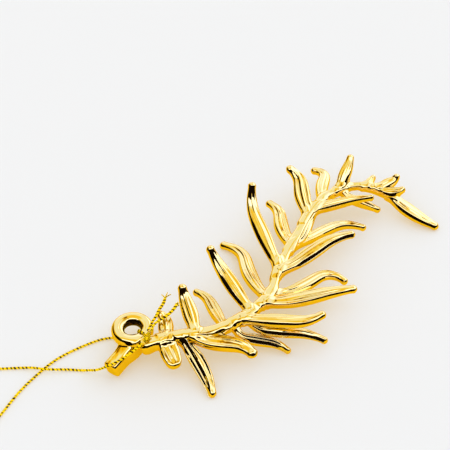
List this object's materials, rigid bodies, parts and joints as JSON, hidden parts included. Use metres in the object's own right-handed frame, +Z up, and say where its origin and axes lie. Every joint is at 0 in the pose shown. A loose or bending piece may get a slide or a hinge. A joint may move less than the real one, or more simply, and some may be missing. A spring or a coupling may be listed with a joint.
{
  "type": "leaf ornament",
  "caption": "Gold-plated leafy branch with an S-curved stem, fluted leaves on both sides and a ring eyelet with a thin hanging cord; a hanging decoration shown lying flat.",
  "frame": {"origin": "on the table, under the middle of the branch's bounding box, without the cord", "axes": "+Z up from the table the branch lies on, +X along the branch from the eyelet towards the far leaf, +Y away from the viewer"},
  "size_m": [0.2116, 0.1435, 0.0261],
  "materials": {
    "gold_plating": "mirror gold plating on moulded plastic",
    "metallic_thread": "twisted metallic thread"
  },
  "bodies": {
    "root": {"leaf_branch": "gold_plating", "hanging_cord": "metallic_thread", "cord_knot": "metallic_thread", "cord_tail_long": "metallic_thread", "cord_tail_short": "metallic_thread"}
  },
  "joints": []
}
